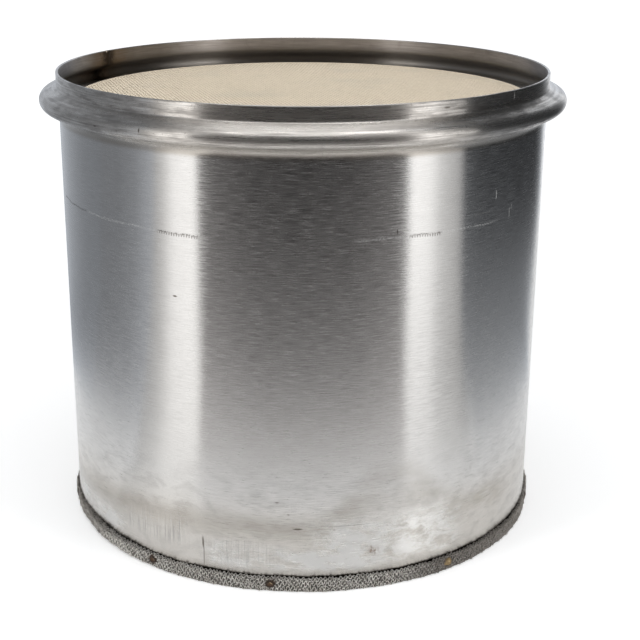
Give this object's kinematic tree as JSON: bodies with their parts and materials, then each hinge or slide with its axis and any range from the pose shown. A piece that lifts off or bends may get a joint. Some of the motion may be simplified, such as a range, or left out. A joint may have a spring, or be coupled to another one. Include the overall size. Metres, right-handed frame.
{
  "type": "diesel particulate filter",
  "caption": "Round steel exhaust filter can with a lip and rolled bead, a plugged ceramic honeycomb held in a fibre mat, and a knitted wire gasket round the lower end.",
  "frame": {"origin": "centre of the can's lower edge, in the plane that it stands on", "axes": "+Z along the can's axis from the gasket end to the lip, -Y towards the side with the clearest tack welds"},
  "size_m": [0.306, 0.306, 0.266],
  "materials": {
    "can_steel": "satin",
    "honeycomb": "matte",
    "plug_cement": "matte",
    "mat_fibre": "matte",
    "mesh_wire": "satin",
    "tack_weld": "matte"
  },
  "bodies": {
    "root": {"can_shell": "can_steel", "substrate": "honeycomb", "inlet_plugs": "plug_cement", "outlet_plugs": "plug_cement", "mounting_mat": "mat_fibre", "mesh_gasket": "mesh_wire", "gasket_tack_welds": "tack_weld"}
  },
  "joints": []
}
